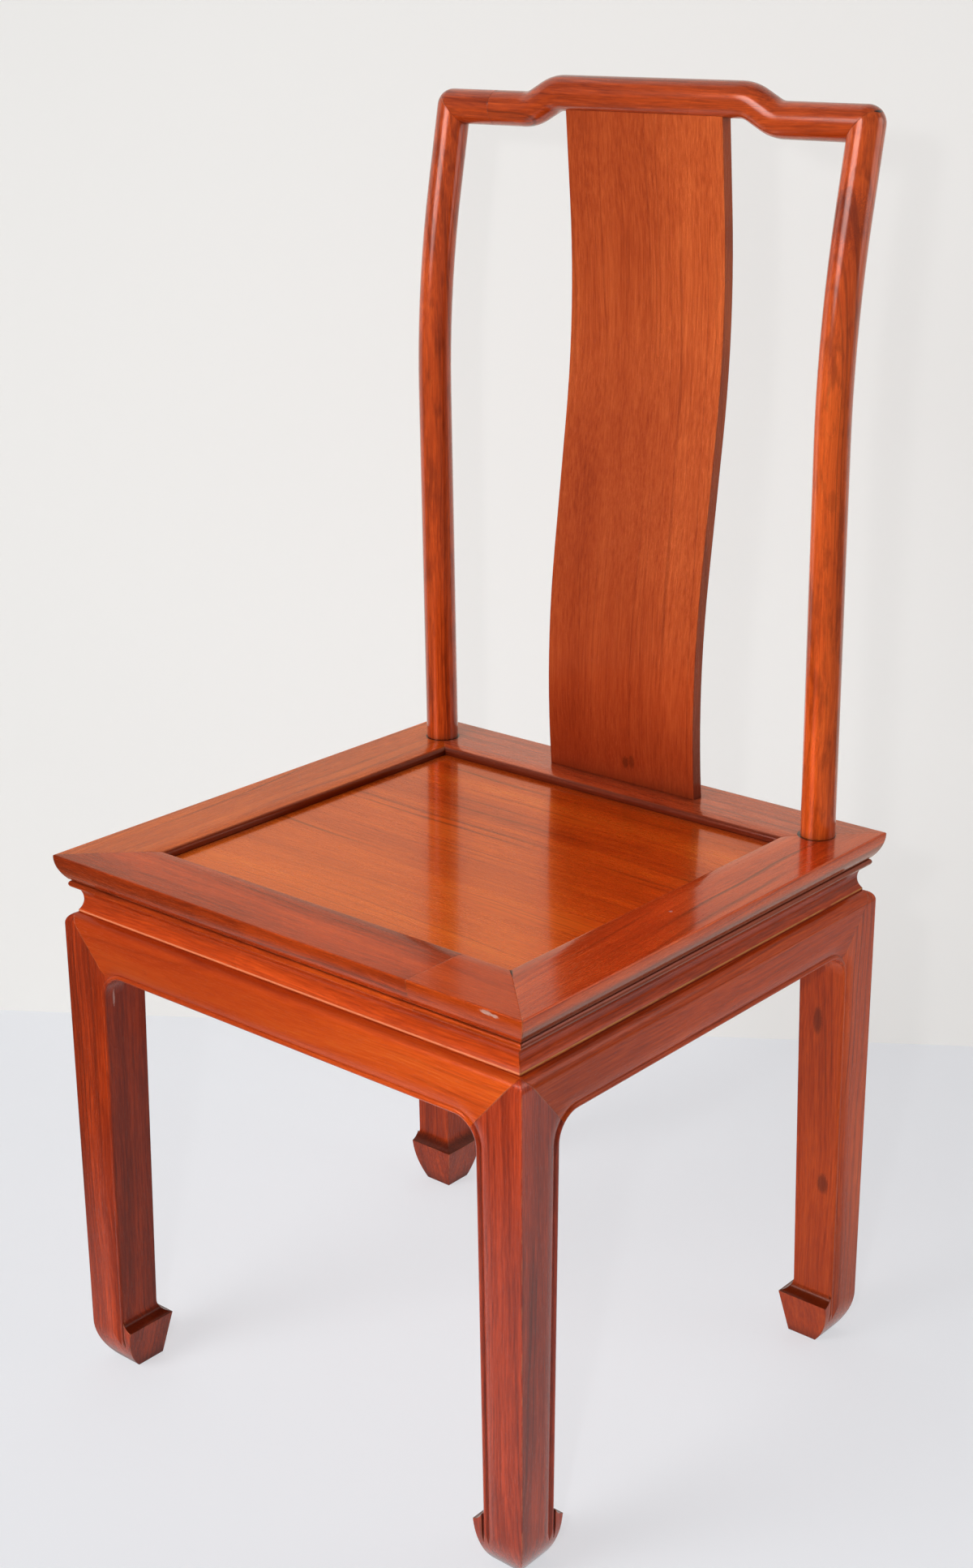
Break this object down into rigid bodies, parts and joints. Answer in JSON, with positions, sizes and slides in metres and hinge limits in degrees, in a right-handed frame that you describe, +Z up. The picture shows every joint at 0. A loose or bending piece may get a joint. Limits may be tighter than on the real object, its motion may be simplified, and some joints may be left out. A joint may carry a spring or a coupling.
{
  "type": "side chair",
  "caption": "Waisted side chair with a mitred seat frame and recessed panel, arched aprons on hoof-footed legs, round back posts, a curved splat and a stepped top rail.",
  "frame": {"origin": "on the floor, below the middle of the seat", "axes": "+Z up, front of the chair towards -Y, +X to the right of a viewer who faces its front"},
  "size_m": [0.472, 0.452, 1.016],
  "materials": {
    "red_hardwood": "semi-gloss lacquer",
    "red_hardwood_pale": "semi-gloss lacquer"
  },
  "bodies": {
    "root": {"apron_back": "red_hardwood", "apron_front": "red_hardwood", "apron_left": "red_hardwood", "apron_right": "red_hardwood", "back_post_left": "red_hardwood", "back_post_right": "red_hardwood", "leg_back_left": "red_hardwood", "leg_back_right": "red_hardwood", "leg_front_left": "red_hardwood", "leg_front_right": "red_hardwood", "seat_batten_left": "red_hardwood", "seat_batten_right": "red_hardwood", "seat_panel": "red_hardwood", "seat_rail_back": "red_hardwood", "seat_rail_front": "red_hardwood", "seat_rail_front_end": "red_hardwood_pale", "seat_rail_left": "red_hardwood", "seat_rail_right": "red_hardwood", "splat": "red_hardwood", "top_rail": "red_hardwood", "top_rail_end": "red_hardwood", "waist_back": "red_hardwood", "waist_front": "red_hardwood", "waist_left": "red_hardwood", "waist_right": "red_hardwood"}
  },
  "joints": []
}
